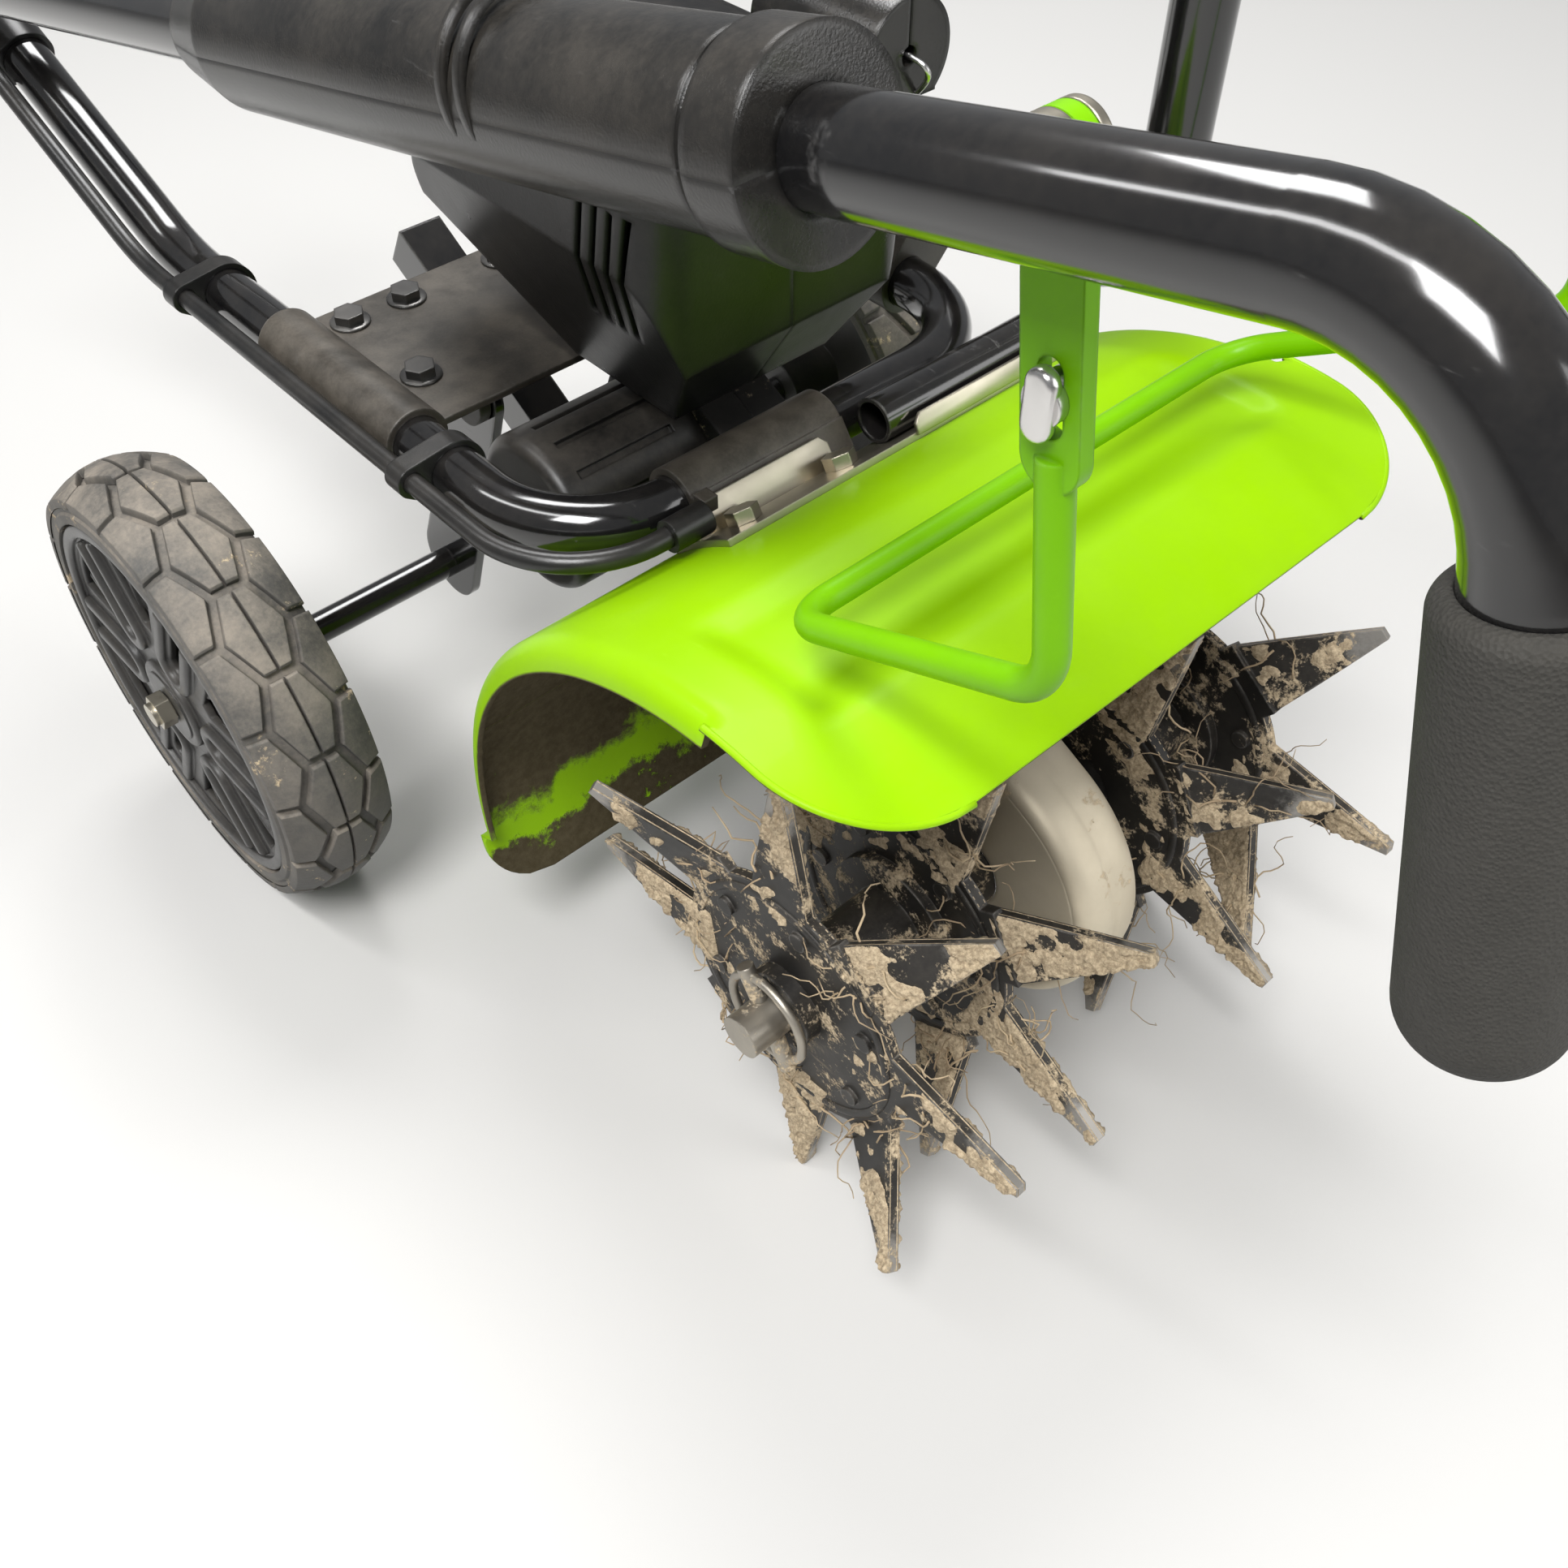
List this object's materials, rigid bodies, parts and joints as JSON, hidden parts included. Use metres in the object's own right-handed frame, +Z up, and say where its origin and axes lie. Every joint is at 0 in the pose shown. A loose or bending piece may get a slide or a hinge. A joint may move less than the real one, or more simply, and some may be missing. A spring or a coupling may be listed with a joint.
{
  "type": "cordless cultivator",
  "caption": "Cordless garden cultivator with a folded handle: star tines under a curved guard, battery housing on a tube frame, trailing wheels and a switch bail.",
  "frame": {"origin": "on the ground, midway along and across the machine's box", "axes": "+X the machine's right, -Y its front where the tines are, +Z up"},
  "size_m": [0.3868, 0.7411, 0.4394],
  "materials": {
    "black_enamel": "gloss black enamel with scuffs",
    "deck_enamel": "black enamel under brown dust",
    "green_enamel": "gloss lime green enamel",
    "zinc": "zinc-plated, dull",
    "chrome": "bright plated steel",
    "alloy": "cast, bead-blasted",
    "tine_steel": "black steel caked with dry soil",
    "motor_enamel": "satin black",
    "housing_plastic": "satin black, fine grain",
    "pack_plastic": "satin charcoal",
    "button_plastic": "lime green",
    "hub_plastic": "satin black",
    "tyre": "dusty grey-black",
    "foam": "matte charcoal foam",
    "lead_rubber": "matte black"
  },
  "bodies": {
    "chassis": {"frame_tube": "black_enamel", "deck_plate": "deck_enamel", "deck_bolts": "zinc", "tine_guard": "green_enamel", "guard_bracket": "zinc", "bracket_bolts": "zinc", "cross_sleeve": "black_enamel", "frame_saddle": "deck_enamel", "drive_case_left": "alloy", "drive_case_right": "alloy", "shaft_bearings": "chrome", "motor_can": "motor_enamel", "housing_left": "housing_plastic", "housing_right": "housing_plastic", "connector": "housing_plastic", "handle_stay": "black_enamel", "stay_cradle": "housing_plastic", "stay_clamp": "deck_enamel", "motor_lead": "lead_rubber", "lead_clips": "lead_rubber", "lead_grommet": "lead_rubber", "lead_gland": "lead_rubber", "fold_bolts": "zinc", "fold_spacers": "zinc", "carrier_pin": "zinc"},
    "tine_rotor": {"tine_shaft": "chrome", "hitch_pins": "chrome", "left_tine_hub": "tine_steel", "right_tine_hub": "tine_steel", "left_outer_tines": "tine_steel", "left_inner_tines": "tine_steel", "right_inner_tines": "tine_steel", "right_outer_tines": "tine_steel"},
    "carrier": {"wheel_carrier": "black_enamel", "carrier_bar": "black_enamel", "axle": "zinc", "axle_nuts": "zinc", "axle_spacers": "black_enamel"},
    "left_wheel": {"left_tyre": "tyre", "left_wheel_hub": "hub_plastic"},
    "right_wheel": {"right_tyre": "tyre", "right_wheel_hub": "hub_plastic"},
    "handle": {"left_handle_tube": "black_enamel", "right_handle_tube": "black_enamel", "handle_spreader": "black_enamel", "left_grip": "foam", "right_grip": "foam", "left_fold_knob": "housing_plastic", "right_fold_knob": "housing_plastic", "control_housing_upper": "housing_plastic", "control_housing_lower": "housing_plastic", "left_bail_pin": "zinc", "right_bail_pin": "zinc"},
    "switch_bail": {"bail": "green_enamel", "bail_nipple": "chrome"},
    "button": {"lock_button": "button_plastic"},
    "battery": {"battery_pack": "pack_plastic"},
    "latch": {"pack_latch": "button_plastic"}
  },
  "joints": [
    {"name": "tine_spin", "type": "hinge", "parent": "chassis", "child": "tine_rotor", "pos_m": [0, -0.1693, 0.10028], "axis": [1, 0, 0], "continuous": true},
    {"name": "carrier_tilt", "type": "hinge", "parent": "chassis", "child": "carrier", "pos_m": [0, 0.0556, 0.20368], "axis": [1, 0, 0], "range_deg": [0, 25]},
    {"name": "left_wheel_spin", "type": "hinge", "parent": "carrier", "child": "left_wheel", "pos_m": [-0.163, 0.1026, 0.095], "axis": [1, 0, 0], "continuous": true},
    {"name": "right_wheel_spin", "type": "hinge", "parent": "carrier", "child": "right_wheel", "pos_m": [0.163, 0.1026, 0.095], "axis": [1, 0, 0], "continuous": true},
    {"name": "handle_fold", "type": "hinge", "parent": "chassis", "child": "handle", "pos_m": [0, 0.3506, 0.29268], "axis": [1, 0, 0], "range_deg": [-125, 0]},
    {"name": "bail_swing", "type": "hinge", "parent": "handle", "child": "switch_bail", "pos_m": [0, -0.2374, 0.41688], "axis": [1, 0, 0], "range_deg": [-40, 0], "stiffness_Nm_per_rad": 0.8, "springref_deg": 17.19},
    {"name": "lock_press", "type": "slide", "parent": "handle", "child": "button", "axis": [0, -0.2067, -0.9784], "range_m": [0, 0.003], "stiffness_N_per_m": 400, "springref_m": -0.002},
    {"name": "battery_slide", "type": "slide", "parent": "chassis", "child": "battery", "axis": [0, 1, 0], "range_m": [0, 0.11]},
    {"name": "latch_press", "type": "slide", "parent": "battery", "child": "latch", "axis": [0, 0, -1], "range_m": [0, 0.0025], "stiffness_N_per_m": 400, "springref_m": -0.002}
  ]
}
